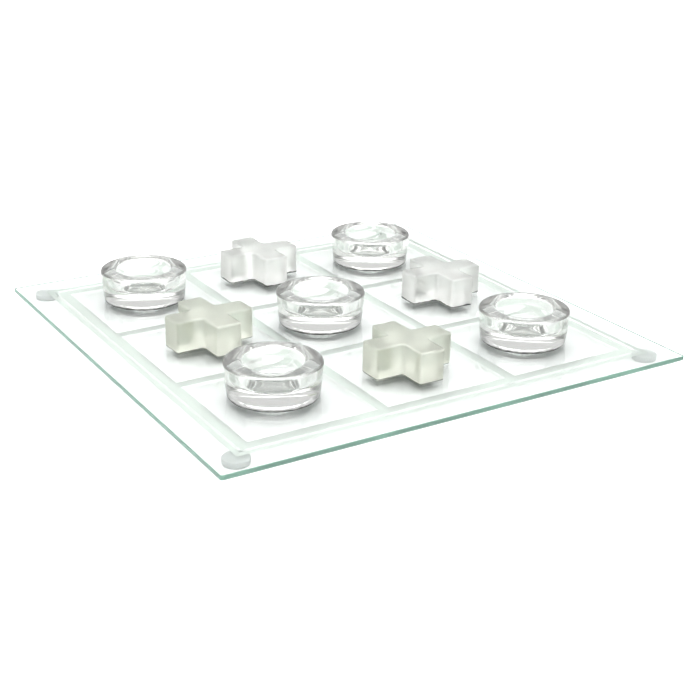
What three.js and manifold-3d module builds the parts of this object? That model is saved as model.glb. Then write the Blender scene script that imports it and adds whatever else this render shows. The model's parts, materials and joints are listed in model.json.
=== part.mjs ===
// Tic tac toe set: a square glass board on four round bumpers, with five cast
// glass noughts and four frosted glass crosses standing in its nine cells.
// Millimetres, +Z up. The origin is on the table, below the middle of the board.
// +X runs along the front right edge and +Y along the front left edge.
import * as THREE from 'three';
import { mergeVertices } from 'three/addons/utils/BufferGeometryUtils.js';
import Module from 'manifold-3d';

const wasm = await Module();
wasm.setup();

// Board
const BOARD_SIDE = 250;
const GLASS_THICKNESS = 2.25;
const CORNER_RADIUS = 1.5;
const EDGE_ARRIS = 0.25; // ground flat on every edge of the plate

// Etched grid, sunk in the top of the board
const ETCH_DEPTH = 0.125;
const GRID_OFFSET_Y = -1.25; // the etching sits a little towards the front right edge
const CELL_PITCH = 70;
const LINE_WIDTH = 5.5;
const FRAME_REACH = 107.5; // half side of the frame band, to its outer edge
const OUTLINE_WIDTH = 2.5;
const OUTLINE_REACH = 111.75; // half side of the thin outline round the frame

// Bumpers under the corners
const FOOT_RADIUS = 6;
const FOOT_HEIGHT = 3;
const FOOT_ROUND = 0.8; // the rounded lower rim
const FOOT_REACH = 111.25; // from the middle of the board along X and along Y

// Noughts
const NOUGHT_HEIGHT = 17;
const NOUGHT_BASE_RADIUS = 21.2;
const NOUGHT_TOP_RADIUS = 22.5;
const NOUGHT_BEVEL = 1.0; // round the foot of the outer wall
const NOUGHT_LIP_OUTER_ROUND = 2.2;
const NOUGHT_LIP_INNER_ROUND = 1.5;
const RECESS_MOUTH_RADIUS = 14;
const RECESS_FLOOR_RADIUS = 10.6;
const RECESS_FLOOR_HEIGHT = 6.4; // glass left under the recess
const RECESS_FILLET = 2;

// Crosses
const CROSS_HEIGHT = 16;
const CROSS_LENGTH = 42;
const CROSS_ARM_WIDTH = 13.6;
const CROSS_TIP_ROUND = 1.4; // outer corners of the plan
const CROSS_ARMPIT_ROUND = 1.2; // inner corners of the plan
const CROSS_EDGE_ROUND = 0.7; // top and bottom edges

// Each game piece stands in a cell, a few millimetres off its middle, as a hand
// leaves it. shift is that offset along X and Y, and turn is in degrees about Z.
const NOUGHTS = [
  { name: 'nought_front', column: -1, row: -1, shift: [0.5, 5] },
  { name: 'nought_left', column: -1, row: 1, shift: [0.5, 8] },
  { name: 'nought_centre', column: 0, row: 0, shift: [-5.5, 3] },
  { name: 'nought_back', column: 1, row: 1, shift: [-1.5, 3] },
  { name: 'nought_right', column: 1, row: -1, shift: [-0.5, 2.5] },
];
const CROSSES = [
  { name: 'cross_front_right', column: 0, row: -1, shift: [-1, 0.5], turn: 0.5, tint: 'green' },
  { name: 'cross_front_left', column: -1, row: 0, shift: [3, 5], turn: 2.7, tint: 'green' },
  { name: 'cross_back_left', column: 0, row: 1, shift: [0.5, 11], turn: 0.3, tint: 'white' },
  { name: 'cross_back_right', column: 1, row: 0, shift: [0, 4.5], turn: -0.9, tint: 'white' },
];
const CORNERS = [
  { name: 'foot_front', side: [-1, -1] },
  { name: 'foot_right', side: [1, -1] },
  { name: 'foot_back', side: [1, 1] },
  { name: 'foot_left', side: [-1, 1] },
];

// Facets
const NOUGHT_SEGMENTS = 36;
const FOOT_SEGMENTS = 28;
const ROUND_STEPS = 3;

const BOARD_TOP = FOOT_HEIGHT + GLASS_THICKNESS;

const finishes = {
  board: { color: 0xd9ebe2, roughness: 0.03, metalness: 0 },
  foot: { color: 0xdfe6e6, roughness: 0.25, metalness: 0 },
  nought: { color: 0xf1f3f0, roughness: 0.04, metalness: 0 },
  green: { color: 0xc9cab8, roughness: 0.55, metalness: 0 },
  white: { color: 0xd3d3cf, roughness: 0.6, metalness: 0 },
};

function part(name, geometry, finish) {
  const mesh = new THREE.Mesh(geometry, new THREE.MeshStandardMaterial(finishes[finish]));
  mesh.name = name;
  return mesh;
}

// A three.js geometry as a manifold-3d solid.
function toSolid(geometry) {
  const bare = geometry.index ? geometry.toNonIndexed() : geometry.clone();
  bare.deleteAttribute('normal');
  bare.deleteAttribute('uv');
  const merged = mergeVertices(bare, 1e-4);
  return new wasm.Manifold(new wasm.Mesh({
    numProp: 3,
    vertProperties: new Float32Array(merged.attributes.position.array),
    triVerts: new Uint32Array(merged.index.array),
  }));
}

// A manifold-3d solid as a three.js geometry.
function toGeometry(solid) {
  const result = solid.getMesh();
  const geometry = new THREE.BufferGeometry();
  geometry.setAttribute('position', new THREE.BufferAttribute(result.vertProperties, 3));
  geometry.setIndex(new THREE.BufferAttribute(result.triVerts, 1));
  return geometry;
}

// A rectangle from its low X and Y to its high X and Y.
function rectangle(lowX, lowY, highX, highY) {
  return new THREE.Shape([
    new THREE.Vector2(lowX, lowY),
    new THREE.Vector2(highX, lowY),
    new THREE.Vector2(highX, highY),
    new THREE.Vector2(lowX, highY),
  ]);
}

// Points of a quarter round between two directions, angles in degrees.
function arc(centreX, centreY, radius, from, to, steps = ROUND_STEPS) {
  const points = [];
  for (let i = 0; i <= steps; i += 1) {
    const angle = THREE.MathUtils.degToRad(from + ((to - from) * i) / steps);
    points.push(new THREE.Vector2(
      centreX + radius * Math.cos(angle),
      centreY + radius * Math.sin(angle),
    ));
  }
  return points;
}

// Turns an outline of points round Z: x is the radius and y the height.
function turned(profile, segments) {
  const geometry = new THREE.LatheGeometry(profile, segments);
  geometry.rotateX(Math.PI / 2);
  return geometry;
}

function roundedSquare(side, radius) {
  const reach = side / 2 - radius;
  return new THREE.Shape([
    ...arc(reach, reach, radius, 0, 90),
    ...arc(-reach, reach, radius, 90, 180),
    ...arc(-reach, -reach, radius, 180, 270),
    ...arc(reach, -reach, radius, 270, 360),
  ]);
}

// The plate, its edges arrised, lying on z = 0.
function plate() {
  const geometry = new THREE.ExtrudeGeometry(roundedSquare(BOARD_SIDE, CORNER_RADIUS), {
    depth: GLASS_THICKNESS - 2 * EDGE_ARRIS,
    bevelThickness: EDGE_ARRIS,
    bevelSize: EDGE_ARRIS,
    bevelOffset: -EDGE_ARRIS,
    bevelSegments: 1,
  });
  geometry.translate(0, 0, EDGE_ARRIS);
  return geometry;
}

// A square band: the frame, or the thin outline round it.
function band(reach, width) {
  const inner = reach - width;
  const shape = rectangle(-reach, -reach, reach, reach);
  shape.holes.push(rectangle(-inner, -inner, inner, inner));
  return shape;
}

// The grid's four lines, which end halfway across the frame band.
function lines() {
  const reach = FRAME_REACH - LINE_WIDTH / 2;
  const near = (CELL_PITCH - LINE_WIDTH) / 2;
  const far = (CELL_PITCH + LINE_WIDTH) / 2;
  return [
    rectangle(-reach, near, reach, far),
    rectangle(-reach, -far, reach, -near),
    rectangle(near, -reach, far, reach),
    rectangle(-far, -reach, -near, reach),
  ];
}

// What the etching of one shape takes out of the top of the plate.
function etching(shape) {
  const geometry = new THREE.ExtrudeGeometry(shape, { depth: 2 * ETCH_DEPTH, bevelEnabled: false });
  geometry.translate(0, GRID_OFFSET_Y, GLASS_THICKNESS - ETCH_DEPTH);
  return toSolid(geometry);
}

function board() {
  let glass = toSolid(plate());
  const bands = [band(OUTLINE_REACH, OUTLINE_WIDTH), band(FRAME_REACH, LINE_WIDTH)];
  for (const shape of [...bands, ...lines()]) {
    glass = glass.subtract(etching(shape));
  }
  const mesh = part('board_glass', toGeometry(glass), 'board');
  mesh.position.z = FOOT_HEIGHT;
  return mesh;
}

// A stick-on bumper with its lower rim rounded.
function foot({ name, side }) {
  const profile = [
    new THREE.Vector2(0, 0),
    ...arc(FOOT_RADIUS - FOOT_ROUND, FOOT_ROUND, FOOT_ROUND, -90, 0),
    new THREE.Vector2(FOOT_RADIUS, FOOT_HEIGHT),
    new THREE.Vector2(0, FOOT_HEIGHT),
  ];
  const mesh = part(name, turned(profile, FOOT_SEGMENTS), 'foot');
  mesh.position.set(side[0] * FOOT_REACH, side[1] * FOOT_REACH, 0);
  return mesh;
}

// The nought's outline from the middle of its base, up the outer wall, over the
// lip and down the recess to the middle of the recess floor.
function noughtProfile() {
  const lipTop = NOUGHT_HEIGHT - NOUGHT_LIP_OUTER_ROUND;
  const mouthTop = NOUGHT_HEIGHT - NOUGHT_LIP_INNER_ROUND;
  const filletTop = RECESS_FLOOR_HEIGHT + RECESS_FILLET;
  return [
    new THREE.Vector2(0, 0),
    new THREE.Vector2(NOUGHT_BASE_RADIUS - NOUGHT_BEVEL, 0),
    new THREE.Vector2(NOUGHT_BASE_RADIUS, NOUGHT_BEVEL),
    ...arc(NOUGHT_TOP_RADIUS - NOUGHT_LIP_OUTER_ROUND, lipTop, NOUGHT_LIP_OUTER_ROUND, 0, 90),
    ...arc(RECESS_MOUTH_RADIUS + NOUGHT_LIP_INNER_ROUND, mouthTop, NOUGHT_LIP_INNER_ROUND, 90, 180),
    ...arc(RECESS_FLOOR_RADIUS - RECESS_FILLET, filletTop, RECESS_FILLET, 0, -90),
    new THREE.Vector2(0, RECESS_FLOOR_HEIGHT),
  ];
}

function crossOutline() {
  const tip = CROSS_LENGTH / 2 - CROSS_TIP_ROUND;
  const flank = CROSS_ARM_WIDTH / 2 - CROSS_TIP_ROUND;
  const armpit = CROSS_ARM_WIDTH / 2 + CROSS_ARMPIT_ROUND;
  const arm = [
    ...arc(tip, -flank, CROSS_TIP_ROUND, -90, 0),
    ...arc(tip, flank, CROSS_TIP_ROUND, 0, 90),
    ...arc(armpit, armpit, CROSS_ARMPIT_ROUND, 270, 180),
  ];
  const outline = [];
  for (let quarter = 0; quarter < 4; quarter += 1) {
    const angle = (quarter * Math.PI) / 2;
    for (const point of arm) {
      outline.push(point.clone().rotateAround(new THREE.Vector2(0, 0), angle));
    }
  }
  return new THREE.Shape(outline);
}

function crossGeometry() {
  const geometry = new THREE.ExtrudeGeometry(crossOutline(), {
    depth: CROSS_HEIGHT - 2 * CROSS_EDGE_ROUND,
    bevelThickness: CROSS_EDGE_ROUND,
    bevelSize: CROSS_EDGE_ROUND,
    bevelOffset: -CROSS_EDGE_ROUND,
    bevelSegments: 2,
  });
  geometry.translate(0, 0, CROSS_EDGE_ROUND);
  return geometry;
}

// Stands a game piece on the board, in its cell.
function stand(mesh, { column, row, shift, turn = 0 }) {
  mesh.position.set(
    column * CELL_PITCH + shift[0],
    row * CELL_PITCH + shift[1] + GRID_OFFSET_Y,
    BOARD_TOP,
  );
  mesh.rotation.z = THREE.MathUtils.degToRad(turn);
  return mesh;
}

const set = new THREE.Group();
set.add(board());
for (const corner of CORNERS) {
  set.add(foot(corner));
}
for (const nought of NOUGHTS) {
  set.add(stand(part(nought.name, turned(noughtProfile(), NOUGHT_SEGMENTS), 'nought'), nought));
}
for (const cross of CROSSES) {
  set.add(stand(part(cross.name, crossGeometry(), cross.tint), cross));
}

export default set;
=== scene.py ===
import json
import math

import bmesh
import bpy
from mathutils import Matrix, Vector, noise


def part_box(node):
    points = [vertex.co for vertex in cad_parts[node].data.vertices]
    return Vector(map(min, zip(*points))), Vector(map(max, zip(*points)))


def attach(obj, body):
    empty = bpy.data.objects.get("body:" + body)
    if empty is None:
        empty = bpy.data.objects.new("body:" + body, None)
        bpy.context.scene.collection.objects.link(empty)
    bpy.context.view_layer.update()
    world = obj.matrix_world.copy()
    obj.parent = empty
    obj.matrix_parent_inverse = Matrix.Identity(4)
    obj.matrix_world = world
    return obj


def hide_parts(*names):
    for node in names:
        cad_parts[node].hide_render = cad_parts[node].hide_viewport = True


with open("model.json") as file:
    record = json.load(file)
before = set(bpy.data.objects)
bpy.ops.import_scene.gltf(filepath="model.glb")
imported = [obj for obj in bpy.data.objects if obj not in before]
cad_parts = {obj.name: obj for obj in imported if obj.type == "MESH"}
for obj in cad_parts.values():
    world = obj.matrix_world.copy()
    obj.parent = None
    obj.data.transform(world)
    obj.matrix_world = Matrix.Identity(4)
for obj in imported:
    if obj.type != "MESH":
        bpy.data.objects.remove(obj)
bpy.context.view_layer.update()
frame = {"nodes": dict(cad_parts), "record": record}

MM = 0.001
PLATE_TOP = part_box("board_glass")[1].z
GAP = 0.04 * MM  # air left between a game piece and the plate

# Glass
GREEN_CAST = (0.45, 0.85, 0.66)
EDGE_COLOR = (0.2, 0.43, 0.335)
FROST_CLEAR = 1.0

# Board
ARRIS = 0.4 * MM
ETCH_DEPTH = 0.02 * MM  # acid-etched grid lines
CORNER_RADIUS = 1.5 * MM
CORNER_STEPS = 8

# Noughts, drawn in millimetres at this size and scaled to the CAD node
DRAWN_RADIUS = 22.5
DRAWN_HEIGHT = 17.0
NOUGHT_SEGMENTS = 128
BASE_CURVE = [(0, 0.34), (6, 0.34), (10.4, 0.3), (11.3, 0.18), (11.9, 0.03), (12.8, 0.0), (16, 0.0)]
RECESSES = {  # radius of the steep wall and the heights it runs between
    "nought_front": (12.2, 8.0, 13.2),
    "nought_left": (11.8, 8.6, 12.0),
    "nought_centre": (12.3, 8.6, 13.0),
    "nought_back": (12.1, 8.2, 13.2),
    "nought_right": (12.0, 8.0, 13.3),
}
NOUGHT_WAVE = 0.012 * MM
NOUGHT_SHADOW_BAND = 1.5 * MM  # height of the painted contact-shadow band at the foot
# how unevenly the painted contact-shadow band runs on the noughts
NOUGHT_SHADOW_BAND_NOISE = 0.4 * MM
CENTRE_RADIUS = 18.5 * MM
CENTRE_SHADE = 0.35  # share of the light for the table that is held back inside that radius

# Crosses
CROSS_HALF = 21 * MM  # half the length of every cross, as in the CAD
ARM_SHARE = 0.3238  # arm width as a share of the cross's length
TIP_ROUND = 1.2 * MM
ARMPIT_ROUND = 1.0 * MM
EDGE_ROUND = 0.55 * MM
CROSS_GRAIN = 0.8 * MM  # size of the cross's mesh facets
CROSS_WAVE = 0.14 * MM
CROSS_SHADOW_BAND = 0.9 * MM  # height of the painted contact-shadow band at the foot


# ---------------------------------------------------------------- materials

def new_material(name):
    material = bpy.data.materials.new(name)
    material.use_nodes = True
    tree = material.node_tree
    tree.nodes.clear()
    output = tree.nodes.new("ShaderNodeOutputMaterial")
    return material, tree, output


def add(tree, kind, **settings):
    node = tree.nodes.new(kind)
    for key, value in settings.items():
        if hasattr(node, key):
            setattr(node, key, value)
        else:
            node.inputs[key.replace("_", " ")].default_value = value
    return node


def absorb(tree, output, color, density):
    volume = add(tree, "ShaderNodeVolumeAbsorption", Color=(*color, 1), Density=density)
    tree.links.new(volume.outputs[0], output.inputs["Volume"])


def grain(tree, scale, detail=3):
    place = add(tree, "ShaderNodeTexCoord")
    noise_node = add(tree, "ShaderNodeTexNoise", Scale=scale, Detail=detail)
    tree.links.new(place.outputs["Object"], noise_node.inputs["Vector"])
    return noise_node.outputs["Fac"]


def spread(tree, value, low, high):
    """Maps a noise value from its usual 0.3 to 0.7 onto low to high."""
    ramp = add(tree, "ShaderNodeMapRange", From_Min=0.3, From_Max=0.7, To_Min=low, To_Max=high)
    tree.links.new(value, ramp.inputs["Value"])
    return ramp.outputs["Result"]


def roughen(tree, shader, height, strength, distance):
    bump = add(tree, "ShaderNodeBump", Strength=strength, Distance=distance)
    tree.links.new(height, bump.inputs["Height"])
    tree.links.new(bump.outputs[0], shader.inputs["Normal"])


def glass_body(tree, output, color, roughness, transmission, ior=1.52):
    glass = add(tree, "ShaderNodeBsdfPrincipled", Base_Color=(*color, 1), Roughness=roughness, IOR=ior)
    glass.inputs["Transmission Weight"].default_value = transmission
    tree.links.new(glass.outputs[0], output.inputs["Surface"])
    return glass


def shade_table(tree, output, glass):
    """Lets the piece hold back a share of the light it would pass on to the table.

    It acts in Cycles only: the exported model doesn't have it.
    """
    path = add(tree, "ShaderNodeLightPath")
    after = add(tree, "ShaderNodeMath", operation="GREATER_THAN")
    after.inputs[1].default_value = 0.5
    share = add(tree, "ShaderNodeAttribute", attribute_name="shade")
    amount = add(tree, "ShaderNodeMath", operation="MULTIPLY")
    tree.links.new(share.outputs["Fac"], amount.inputs[1])
    dark = add(tree, "ShaderNodeBsdfDiffuse", Color=(0.01, 0.01, 0.01, 1))
    mix = add(tree, "ShaderNodeMixShader")
    tree.links.new(path.outputs["Diffuse Depth"], after.inputs[0])
    tree.links.new(after.outputs[0], amount.inputs[0])
    tree.links.new(amount.outputs[0], mix.inputs[0])
    tree.links.new(glass.outputs[0], mix.inputs[1])
    tree.links.new(dark.outputs[0], mix.inputs[2])
    tree.links.new(mix.outputs[0], output.inputs["Surface"])


def painted_contact_shadow(tree, output, top, unevenness):
    """Paints the outer side of a piece's lowest edge nearly black, as a painted contact shadow where the
    piece meets the plate.

    It is seen from outside only, and stays on the piece when it is lifted.
    """
    place = add(tree, "ShaderNodeTexCoord")
    facing = add(tree, "ShaderNodeSeparateXYZ")
    at = add(tree, "ShaderNodeSeparateXYZ")
    tree.links.new(place.outputs["Object"], at.inputs[0])
    tree.links.new(place.outputs["Normal"], facing.inputs[0])
    height = add(tree, "ShaderNodeMath", operation="SUBTRACT")
    tree.links.new(at.outputs["Z"], height.inputs[0])
    tree.links.new(spread(tree, grain(tree, 260), 0, unevenness), height.inputs[1])
    low = add(tree, "ShaderNodeMapRange", To_Min=1, To_Max=0,
              From_Min=PLATE_TOP + 0.6 * top, From_Max=PLATE_TOP + top)
    tilt = add(tree, "ShaderNodeMath", operation="ABSOLUTE")
    side = add(tree, "ShaderNodeMapRange", From_Min=0.94, From_Max=0.985, To_Min=0.9, To_Max=0)
    tree.links.new(height.outputs[0], low.inputs["Value"])
    tree.links.new(facing.outputs["Z"], tilt.inputs[0])
    tree.links.new(tilt.outputs[0], side.inputs["Value"])
    amount = add(tree, "ShaderNodeMath", operation="MULTIPLY")
    tree.links.new(low.outputs["Result"], amount.inputs[0])
    tree.links.new(side.outputs["Result"], amount.inputs[1])
    # painted contact shadow: a near-black surface mixed onto the lowest edge
    dark = add(tree, "ShaderNodeBsdfDiffuse", Color=(0.02, 0.02, 0.02, 1))
    inside = add(tree, "ShaderNodeNewGeometry")
    seen = add(tree, "ShaderNodeMath", operation="SUBTRACT", use_clamp=True)
    mix = add(tree, "ShaderNodeMixShader")
    body = output.inputs["Surface"].links[0].from_socket
    tree.links.new(amount.outputs[0], seen.inputs[0])
    tree.links.new(inside.outputs["Backfacing"], seen.inputs[1])
    tree.links.new(seen.outputs[0], mix.inputs[0])
    tree.links.new(body, mix.inputs[1])
    tree.links.new(dark.outputs[0], mix.inputs[2])
    tree.links.new(mix.outputs[0], output.inputs["Surface"])


def plate_glass():
    material, tree, output = new_material("board_clear")
    glass_body(tree, output, (1, 1, 1), 0.0, 1)
    absorb(tree, output, GREEN_CAST, 18)
    return material


def etched_glass():
    material, tree, output = new_material("board_etched")
    glass = glass_body(tree, output, (0.8, 0.84, 0.8), 0.5, 0.82)
    tree.links.new(spread(tree, grain(tree, 1600), 0.42, 0.6), glass.inputs["Roughness"])
    roughen(tree, glass, grain(tree, 4000), 0.12, 0.05 * MM)
    absorb(tree, output, GREEN_CAST, 14)
    return material


def ground_edge():
    material, tree, output = new_material("board_edge")
    glass = glass_body(tree, output, EDGE_COLOR, 0.4, 0.75)
    tree.links.new(spread(tree, grain(tree, 700), 0.3, 0.5), glass.inputs["Roughness"])
    roughen(tree, glass, grain(tree, 1500), 0.15, 0.05 * MM)
    absorb(tree, output, GREEN_CAST, 14)
    return material


def cast_glass():
    material, tree, output = new_material("cast_glass")
    glass = glass_body(tree, output, (0.955, 0.96, 0.95), 0.0, 1)
    absorb(tree, output, (0.5, 0.5, 0.46), 7)
    tree.links.new(spread(tree, grain(tree, 300), 0.0, 0.012), glass.inputs["Roughness"])
    roughen(tree, glass, grain(tree, 110, 2), 0.05, 0.12 * MM)
    shade_table(tree, output, glass)
    # painted contact shadow at the foot of each nought
    painted_contact_shadow(tree, output, NOUGHT_SHADOW_BAND, NOUGHT_SHADOW_BAND_NOISE)
    return material


def bumper_plastic():
    material, tree, output = new_material("bumper")
    glass = glass_body(tree, output, (0.96, 1.0, 0.98), 0.35, 0.5, 1.48)
    tree.links.new(spread(tree, grain(tree, 500), 0.3, 0.45), glass.inputs["Roughness"])
    return material


def frosted_glass(name, color, mottle, chipped_shadow_band):
    material, tree, output = new_material(name)
    glass = glass_body(tree, output, color, 0.5, FROST_CLEAR, 1.5)
    place = add(tree, "ShaderNodeTexCoord")
    cloud = add(tree, "ShaderNodeTexNoise", Scale=110, Detail=3)
    tree.links.new(place.outputs["Object"], cloud.inputs["Vector"])
    tint = add(tree, "ShaderNodeMix", data_type="RGBA")
    tint.inputs["A"].default_value = (*[c * (1 - mottle) for c in color], 1)
    tint.inputs["B"].default_value = (*color, 1)
    tree.links.new(spread(tree, cloud.outputs["Fac"], 0, 1), tint.inputs["Factor"])
    tree.links.new(tint.outputs["Result"], glass.inputs["Base Color"])
    tree.links.new(spread(tree, grain(tree, 900), 0.42, 0.54), glass.inputs["Roughness"])
    roughen(tree, glass, grain(tree, 1800), 0.15, 0.06 * MM)
    shade_table(tree, output, glass)
    # painted contact shadow at the foot of each cross, its edge made uneven like chipped glass
    painted_contact_shadow(tree, output, CROSS_SHADOW_BAND, chipped_shadow_band)
    return material


# ------------------------------------------------------------------- meshes

def finished(name, mesh_data, materials, body, slot, *nodes, smooth=True):
    mesh = bpy.data.meshes.new(name)
    mesh_data.normal_update()
    mesh_data.to_mesh(mesh)
    mesh_data.free()
    for material in materials:
        mesh.materials.append(material)
    piece = bpy.data.objects.new(name, mesh)
    bpy.context.scene.collection.objects.link(piece)
    for face in mesh.polygons:
        face.use_smooth = smooth
    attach(piece, body)
    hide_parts(*nodes)
    return piece


def arc(cx, cy, radius, start, end, steps):
    angles = [math.radians(start + (end - start) * i / steps) for i in range(steps + 1)]
    return [(cx + radius * math.cos(a), cy + radius * math.sin(a)) for a in angles]


def turned(profile, segments, centre, wave=0.0):
    """Turns (radius, height) points round Z; the first and last lie on the axis."""
    mesh = bmesh.new()
    rings = []
    for radius, height in profile:
        if radius < 1e-7:
            rings.append([mesh.verts.new(centre + Vector((0, 0, height)))])
            continue
        ring = []
        for i in range(segments):
            a = 2 * math.pi * i / segments
            ring.append(mesh.verts.new(centre + Vector((radius * math.cos(a), radius * math.sin(a), height))))
        rings.append(ring)
    for low, high in zip(rings, rings[1:]):
        for i in range(segments):
            j = (i + 1) % segments
            if len(low) == 1:
                mesh.faces.new((low[0], high[j], high[i]))
            elif len(high) == 1:
                mesh.faces.new((low[i], low[j], high[0]))
            else:
                mesh.faces.new((low[i], low[j], high[j], high[i]))
    bmesh.ops.recalc_face_normals(mesh, faces=mesh.faces)
    if wave:
        ripple(mesh, wave, 100)
    return mesh


def ripple(mesh, depth, scale):
    """Moves the surface by a soft noise, mostly inwards."""
    mesh.normal_update()
    moves = [(v, v.normal * depth * (noise.noise(v.co * scale) - 0.6)) for v in mesh.verts]
    for v, move in moves:
        v.co += move


def hold_back(mesh, share):
    """Writes the attribute that shade_table reads: the share of table light held back."""
    shade = mesh.verts.layers.float.new("shade")
    for v in mesh.verts:
        v[shade] = share(v.co)


def spline(points, steps):
    """A smooth curve through the points, with steps parts between each two."""
    ends = [2 * Vector(points[0]) - Vector(points[1])] + [Vector(p) for p in points]
    ends.append(2 * Vector(points[-1]) - Vector(points[-2]))
    curve = []
    for a, b, c, d in zip(ends, ends[1:], ends[2:], ends[3:]):
        for i in range(steps):
            t = i / steps
            square = (2 * a - 5 * b + 4 * c - d) * t * t
            cube = (3 * b - 3 * c + d - a) * t ** 3
            curve.append(0.5 * (2 * b + (c - a) * t + square + cube))
    curve.append(Vector(points[-1]))
    return [(p.x, p.y) for p in curve]


def recess(wall, low, high):
    """Half a section of a nought's recess, from its lip in to the axis, in millimetres."""
    lip = [(15.2, 17.0), (14.5, 16.75), (14.0, 16.1)]
    neck = (wall + 0.5, high)
    for share, sag in ((0.35, -0.05), (0.7, -0.05)):
        x = lip[2][0] + (neck[0] - lip[2][0]) * share
        z = lip[2][1] + (neck[1] - lip[2][1]) * share
        lip.append((x + sag, z + sag))
    curve = [neck, (wall + 0.2, (low + high) / 2), (wall - 0.1, low), (wall - 0.9, low - 1.1)]
    curve += [(wall - 2.6, low - 1.7), (wall - 5.5, low - 1.95), (0, low - 2.0)]
    return spline(lip + curve, 4)


def nought_profile(node, radius, height):
    """Half a section of a nought: its base, wall, rim and recess, scaled to the CAD node."""
    unit = radius / DRAWN_RADIUS
    up = height / DRAWN_HEIGHT
    points = BASE_CURVE + arc(19.5, 1.7, 1.7, -90, 0, 8)
    points += [(21.6, 5.0), (21.9, 9.0), (22.2, 13.0)]
    points += arc(DRAWN_RADIUS - 1.2, DRAWN_HEIGHT - 1.35, 1.2, 3, 80, 8)
    points += [(20.0, 16.95), (18.3, 17.0)]
    points += recess(*RECESSES[node])
    return [(x * unit, z * up) for x, z in points]


def make_nought(node, material):
    """A cast glass nought, turned round its axis."""
    low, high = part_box(node)
    centre = Vector(((low.x + high.x) / 2, (low.y + high.y) / 2, low.z + GAP))
    profile = nought_profile(node, (high.x - low.x) / 2, high.z - low.z - GAP)
    mesh = turned(profile, NOUGHT_SEGMENTS, centre, NOUGHT_WAVE)
    hold_back(mesh, lambda p: CENTRE_SHADE if (p - centre).xy.length < CENTRE_RADIUS else 1.0)
    return finished(node + "_glass", mesh, [material], node, "cast_glass", node)


def make_foot(node, material):
    low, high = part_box(node)
    centre = Vector(((low.x + high.x) / 2, (low.y + high.y) / 2, 0))
    radius, height = (high.x - low.x) / 2, high.z - GAP
    profile = [(0, 0)] + arc(radius - 0.8 * MM, 0.8 * MM, 0.8 * MM, -90, 0, 8)
    profile += [(radius, height - 0.2 * MM), (radius - 0.2 * MM, height), (0, height)]
    return finished(node + "_bumper", turned(profile, 64, centre), [material], "board", "bumper", node)


def cross_outline(half, arm, steps=6):
    """The plan of a cross, anticlockwise from the tip of its +X arm."""
    points = []
    for quarter in range(4):
        turn = Matrix.Rotation(quarter * math.pi / 2, 2)
        piece = arc(half - TIP_ROUND, -arm + TIP_ROUND, TIP_ROUND, -90, 0, steps)
        piece += arc(half - TIP_ROUND, arm - TIP_ROUND, TIP_ROUND, 0, 90, steps)
        piece += arc(arm + ARMPIT_ROUND, arm + ARMPIT_ROUND, ARMPIT_ROUND, 270, 180, steps)
        points += [turn @ Vector(p) for p in piece]
    return points


def make_cross(node, material, slot):
    """A frosted cross: its plan drawn up with rounded edges, then a little uneven."""
    low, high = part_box(node)
    centre = Vector(((low.x + high.x) / 2, (low.y + high.y) / 2, low.z + GAP))
    turn = cross_turn(node)
    outline = cross_outline(CROSS_HALF, CROSS_HALF * ARM_SHARE)
    height = high.z - low.z - GAP
    count = len(outline)
    normals = []
    for i in range(count):
        side = outline[(i + 1) % count] - outline[i - 1]
        normals.append(Vector((side.y, -side.x)).normalized())
    mesh = bmesh.new()
    rounds = [math.radians(d) for d in range(0, 91, 15)]
    stages = [(EDGE_ROUND * (1 - math.sin(a)), EDGE_ROUND * (1 - math.cos(a))) for a in rounds]
    stages += [(inset, height - rise) for inset, rise in reversed(stages)]
    rings = []
    for inset, rise in stages:
        ring = []
        for point, normal in zip(outline, normals):
            p = Matrix.Rotation(turn, 2) @ (point - normal * inset)
            ring.append(mesh.verts.new(centre + Vector((p.x, p.y, rise))))
        rings.append(ring)
    for a, b in zip(rings, rings[1:]):
        for i in range(count):
            j = (i + 1) % count
            mesh.faces.new((a[i], a[j], b[j], b[i]))
    mesh.faces.new(list(reversed(rings[0])))
    mesh.faces.new(rings[-1])
    bmesh.ops.recalc_face_normals(mesh, faces=mesh.faces)
    mesh = remeshed(mesh, CROSS_GRAIN)
    ripple(mesh, CROSS_WAVE, 110)
    hold_back(mesh, lambda p: 1.0)
    return finished(node + "_glass", mesh, [material], node, slot, node)


def remeshed(mesh, size):
    """The same body in even facets with its edges a little softened."""
    data = bpy.data.meshes.new("rough")
    mesh.to_mesh(data)
    mesh.free()
    rough = bpy.data.objects.new("rough", data)
    bpy.context.scene.collection.objects.link(rough)
    even = rough.modifiers.new("even", "REMESH")
    even.mode = "VOXEL"
    even.voxel_size = size
    soft = rough.modifiers.new("soft", "SMOOTH")
    soft.factor = 0.5
    soft.iterations = 2
    graph = bpy.context.evaluated_depsgraph_get()
    result = bmesh.new()
    result.from_mesh(rough.evaluated_get(graph).data)
    bpy.data.objects.remove(rough)
    bpy.data.meshes.remove(data)
    return result


def cross_turn(node):
    """How far a cross is turned on the plate, from its CAD node."""
    low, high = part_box(node)
    centre = (low + high) / 2
    tip = max((v.co for v in frame["nodes"][node].data.vertices), key=lambda p: p.x)
    side = [v.co for v in frame["nodes"][node].data.vertices if v.co.x > tip.x - 1.2 * MM]
    middle = (min(p.y for p in side) + max(p.y for p in side)) / 2 - centre.y
    return math.atan2(middle, tip.x - centre.x)


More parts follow.
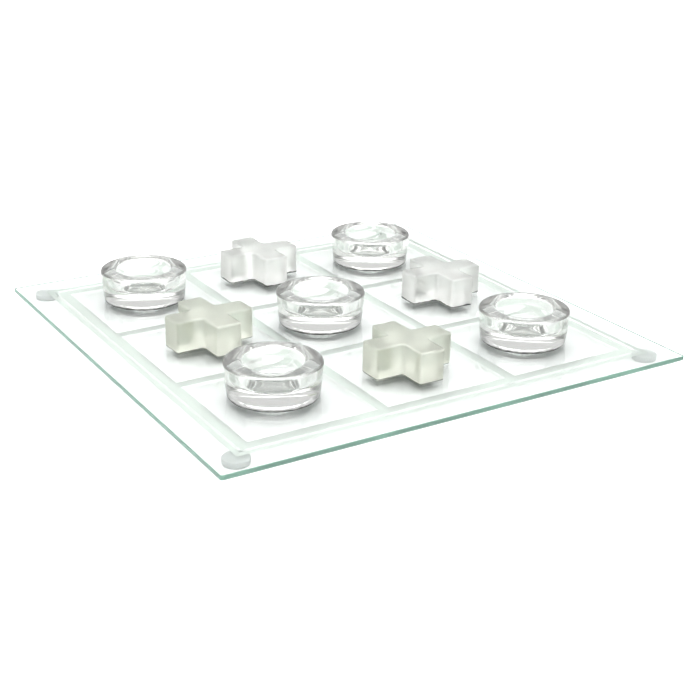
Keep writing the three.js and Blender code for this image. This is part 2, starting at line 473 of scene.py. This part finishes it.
def make_board(materials):
    """The plate: clear faces, etched lines just below its top, and a ground rim."""
    node = frame["nodes"]["board_glass"]
    low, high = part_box("board_glass")
    floor = high.z - ETCH_DEPTH
    cuts = []
    for axis in (0, 1):
        grid = {round(v.co[axis], 5) for v in node.data.vertices
                if abs(v.co.z - high.z) < 1e-6 and max(abs(v.co.x), abs(v.co.y)) < high.x - 5 * MM}
        cuts.append(sorted(grid))
    mesh = bmesh.new()

    def square(reach, z):
        r = max(CORNER_RADIUS - (high.x - reach), 0.3 * MM)
        points = []
        for quarter in range(4):
            turn = Matrix.Rotation(quarter * math.pi / 2, 2)
            for p in arc(reach - r, reach - r, r, 0, 90, CORNER_STEPS):
                q = turn @ Vector(p)
                points.append(mesh.verts.new((q.x, q.y, z)))
        return points

    half = high.x
    rings = []
    for d in range(0, 91, 30):
        a = math.radians(d)
        rings.append(square(half - ARRIS * (1 - math.sin(a)), low.z + ARRIS * (1 - math.cos(a))))
    for d in range(90, -1, -30):
        a = math.radians(d)
        rings.append(square(half - ARRIS * (1 - math.sin(a)), high.z - ARRIS * (1 - math.cos(a))))
    count = len(rings[0])
    for a, b in zip(rings, rings[1:]):
        for i in range(count):
            j = (i + 1) % count
            mesh.faces.new((a[i], a[j], b[j], b[i])).material_index = 2
    mesh.faces.new(list(reversed(rings[0])))

    xs, ys = cuts
    last = len(xs) - 2

    def etched(i, j):
        if i in (0, last) or j in (0, last):
            return True
        if i in (1, last - 1) or j in (1, last - 1):
            return False
        return i % 2 == 0 or j % 2 == 0

    verts = {}

    def vert(i, j, sunk):
        key = (i, j, sunk)
        if key not in verts:
            verts[key] = mesh.verts.new((xs[i], ys[j], floor if sunk else high.z))
        return verts[key]

    for i in range(last + 1):
        for j in range(last + 1):
            sunk = etched(i, j)
            corners = ((i, j), (i + 1, j), (i + 1, j + 1), (i, j + 1))
            face = mesh.faces.new([vert(a, b, sunk) for a, b in corners])
            face.material_index = 1 if sunk else 0
            for di, dj, p, q in ((1, 0, (i + 1, j), (i + 1, j + 1)), (0, 1, (i + 1, j + 1), (i, j + 1)),
                                 (-1, 0, (i, j + 1), (i, j)), (0, -1, (i, j), (i + 1, j))):
                ni, nj = i + di, j + dj
                outside = not (0 <= ni <= last and 0 <= nj <= last)
                if sunk and (outside or not etched(ni, nj)):
                    wall = mesh.faces.new([vert(*q, True), vert(*p, True), vert(*p, False), vert(*q, False)])
                    wall.material_index = 1
    inner = [vert(i, 0, False) for i in range(last + 1)]
    inner += [vert(last + 1, j, False) for j in range(last + 1)]
    inner += [vert(i, last + 1, False) for i in range(last + 1, 0, -1)]
    inner += [vert(0, j, False) for j in range(last + 1, 0, -1)]
    outer = rings[-1]
    edges = []
    for loop in (inner, outer):
        for a, b in zip(loop, loop[1:] + loop[:1]):
            edge = mesh.edges.get((a, b)) or mesh.edges.new((a, b))
            edges.append(edge)
    bmesh.ops.triangle_fill(mesh, use_beauty=True, use_dissolve=False, edges=edges)
    bmesh.ops.recalc_face_normals(mesh, faces=mesh.faces)
    return finished("board_plate", mesh, materials, "board", "board_glass", "board_glass", smooth=False)


# -------------------------------------------------------------------- stage

def make_stage():
    mesh = bmesh.new()
    bmesh.ops.create_grid(mesh, x_segments=2, y_segments=2, size=6)
    data = bpy.data.meshes.new("floor")
    mesh.to_mesh(data)
    mesh.free()
    floor = bpy.data.objects.new("floor", data)
    bpy.context.scene.collection.objects.link(floor)
    material, tree, output = new_material("floor")
    diffuse = add(tree, "ShaderNodeBsdfDiffuse", Color=(0.9, 0.9, 0.9, 1))
    tree.links.new(diffuse.outputs[0], output.inputs["Surface"])
    data.materials.append(material)


SKY_LEVEL = 6.1  # the softbox overhead
CAP_EDGE = (0.62, 0.84)  # sines of elevation between which it fades in
FAR_LEVEL = 1.02  # the wall behind the set
NEAR_LEVEL = 0.85  # the room behind the camera
SIDE_LEVEL = 0.35  # the dark cards left and right
CARD_EDGE = (0.75, 0.9)  # sines of bearing between which they fade in
AHEAD = (0.528, 0.849, 0)
RIGHT = (0.849, -0.528, 0)


def make_world():
    world = bpy.data.worlds.new("studio")
    bpy.context.scene.world = world
    world.use_nodes = True
    tree = world.node_tree
    tree.nodes.clear()

    def step(value, low, high, start, end):
        ramp = add(tree, "ShaderNodeMapRange", interpolation_type="SMOOTHSTEP", From_Min=low, From_Max=high)
        for socket, level in ((ramp.inputs["To Min"], start), (ramp.inputs["To Max"], end)):
            if isinstance(level, float):
                socket.default_value = level
            else:
                tree.links.new(level, socket)
        tree.links.new(value, ramp.inputs["Value"])
        return ramp.outputs["Result"]

    def along(direction):
        dot = add(tree, "ShaderNodeVectorMath", operation="DOT_PRODUCT")
        dot.inputs[1].default_value = direction
        tree.links.new(flat.outputs[0], dot.inputs[0])
        return dot.outputs["Value"]

    place = add(tree, "ShaderNodeTexCoord")
    split = add(tree, "ShaderNodeSeparateXYZ")
    tree.links.new(place.outputs["Generated"], split.inputs[0])
    level = add(tree, "ShaderNodeVectorMath", operation="MULTIPLY")
    level.inputs[1].default_value = (1, 1, 0)
    tree.links.new(place.outputs["Generated"], level.inputs[0])
    flat = add(tree, "ShaderNodeVectorMath", operation="NORMALIZE")
    tree.links.new(level.outputs[0], flat.inputs[0])
    sideways = add(tree, "ShaderNodeMath", operation="ABSOLUTE")
    tree.links.new(along(RIGHT), sideways.inputs[0])
    depth = step(along(AHEAD), -0.2, 0.2, NEAR_LEVEL, FAR_LEVEL)
    around = step(sideways.outputs[0], *CARD_EDGE, depth, SIDE_LEVEL)
    sky = add(tree, "ShaderNodeBackground")
    tree.links.new(step(split.outputs["Z"], *CAP_EDGE, around, SKY_LEVEL), sky.inputs["Strength"])
    output = add(tree, "ShaderNodeOutputWorld")
    tree.links.new(sky.outputs[0], output.inputs["Surface"])


CAMERA_TURN = (-31.88, 22.414, 0.948)  # azimuth, pitch and roll in degrees
CAMERA_LENS = 68.7
CAMERA_AT = (-0.32849, -0.5468, 0.24664)  # from the middle of the plate's top


def make_camera():
    azimuth, pitch, roll = (math.radians(angle) for angle in CAMERA_TURN)
    data = bpy.data.cameras.new("camera")
    data.lens = CAMERA_LENS
    data.sensor_width = 36
    camera = bpy.data.objects.new("camera", data)
    bpy.context.scene.collection.objects.link(camera)
    level = math.cos(pitch)
    back = Vector((math.sin(azimuth) * level, -math.cos(azimuth) * level, math.sin(pitch)))
    right = Vector((math.cos(azimuth), math.sin(azimuth), 0))
    up = back.cross(right)
    x_axis = right * math.cos(roll) + up * math.sin(roll)
    y_axis = up * math.cos(roll) - right * math.sin(roll)
    rotation = Matrix((x_axis, y_axis, back)).transposed()
    camera.rotation_mode = "QUATERNION"
    camera.rotation_quaternion = rotation.to_quaternion()
    camera.location = (CAMERA_AT[0], CAMERA_AT[1], CAMERA_AT[2] + PLATE_TOP)
    bpy.context.scene.camera = camera


cast = cast_glass()
bumper = bumper_plastic()
frosted = {
    # the last number sets how unevenly the painted contact shadow runs, like chipped edges
    "frosted_glass_green": frosted_glass("frosted_green", (0.82, 0.84, 0.75), 0.05, 0.1 * MM),
    "frosted_glass_white": frosted_glass("frosted_white", (0.93, 0.935, 0.91), 0.12, 0.7 * MM),
}
make_board([plate_glass(), etched_glass(), ground_edge()])
slots = {part["node"]: part["material_slot"] for part in frame["record"]["subparts"]}
for node, slot in slots.items():
    if node.startswith("nought"):
        make_nought(node, cast)
    elif node.startswith("cross"):
        make_cross(node, frosted[slot], slot)
    elif node.startswith("foot"):
        make_foot(node, bumper)
make_stage()
make_world()
make_camera()

scene = bpy.context.scene
scene.view_settings.view_transform = "Standard"
scene.cycles.max_bounces = 24
scene.cycles.transmission_bounces = 24
scene.cycles.transparent_max_bounces = 24
scene.cycles.glossy_bounces = 12
scene.cycles.diffuse_bounces = 4
